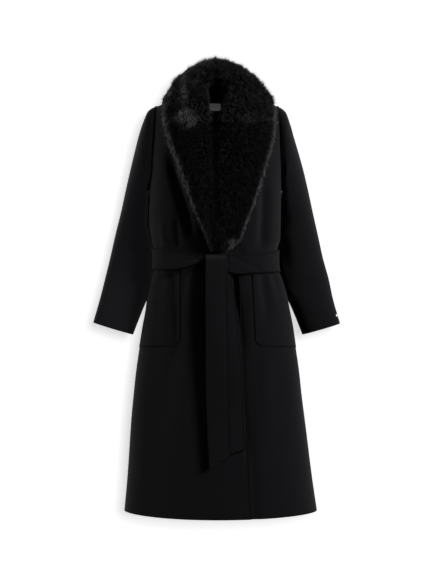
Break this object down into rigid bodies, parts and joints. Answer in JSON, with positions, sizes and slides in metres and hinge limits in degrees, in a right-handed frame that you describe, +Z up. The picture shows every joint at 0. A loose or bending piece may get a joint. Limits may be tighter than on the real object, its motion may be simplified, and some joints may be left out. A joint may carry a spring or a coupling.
{
  "type": "belted coat",
  "caption": "Long black wool coat with a full fur shawl collar, patch pockets and a tied cloth belt whose tails hang down the lapped front.",
  "frame": {"origin": "between the shoulders, at the height where the neck leaves them, which is where a wearer or hanger holds the coat up", "axes": "+Z up from hem to collar, the closed front faces -Y, the wearer's right is -X"},
  "size_m": [0.692, 0.2506, 1.282],
  "materials": {
    "wool": "matt black double-faced wool with a soft brushed nap",
    "fur": "dense glossy black fur with pale highlights at its rims",
    "label": "plain grey woven satin",
    "metal": "small bright plate"
  },
  "bodies": {
    "root": {"back": "wool", "front_right": "wool", "front_left": "wool", "sleeve_right": "wool", "sleeve_left": "wool", "pocket_right": "wool", "pocket_left": "wool", "belt": "wool", "belt_knot": "wool", "belt_tail_front": "wool", "belt_tail_back": "wool", "fur_collar": "fur", "neck_label": "label", "cuff_tag": "metal"}
  },
  "joints": []
}
